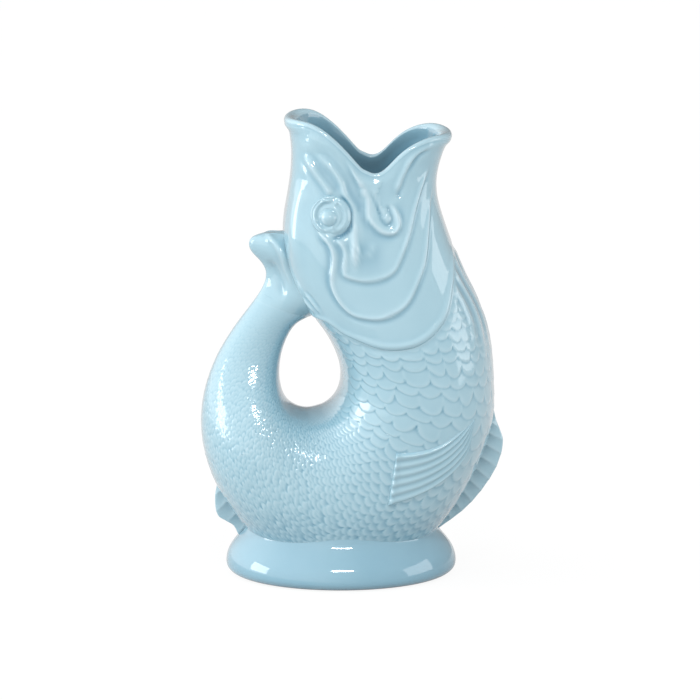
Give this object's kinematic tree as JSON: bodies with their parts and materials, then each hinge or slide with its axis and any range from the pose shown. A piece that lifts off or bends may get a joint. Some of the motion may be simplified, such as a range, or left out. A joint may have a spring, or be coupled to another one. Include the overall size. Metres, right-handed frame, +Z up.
{
  "type": "fish-shaped jug",
  "caption": "Upright fish-shaped pouring jug in pale blue glazed earthenware, with an open-mouth spout, a hollow tail curled up to the nape as its handle, and an oval foot.",
  "frame": {"origin": "on the table, under the middle of the jug's length, on its plane of symmetry", "axes": "+Z up from the foot to the mouth, +X towards the lower lip and the belly fin, -X towards the tail handle, Y across the fish"},
  "size_m": [0.1489, 0.0998, 0.2297],
  "materials": {
    "glazed_body": "gloss",
    "glazed_scales": "gloss",
    "glazed_fins": "gloss",
    "glazed_foot": "gloss"
  },
  "bodies": {
    "root": {"foot": "glazed_foot", "belly_shell": "glazed_scales", "head_shell": "glazed_body", "tail_handle": "glazed_scales", "tail_fluke": "glazed_body", "belly_fin": "glazed_fins", "tail_fin": "glazed_fins", "pectoral_fin_right": "glazed_fins", "pectoral_fin_left": "glazed_fins", "gill_cover_right": "glazed_body", "gill_cover_left": "glazed_body", "eye_right": "glazed_body", "eye_left": "glazed_body"}
  },
  "joints": []
}
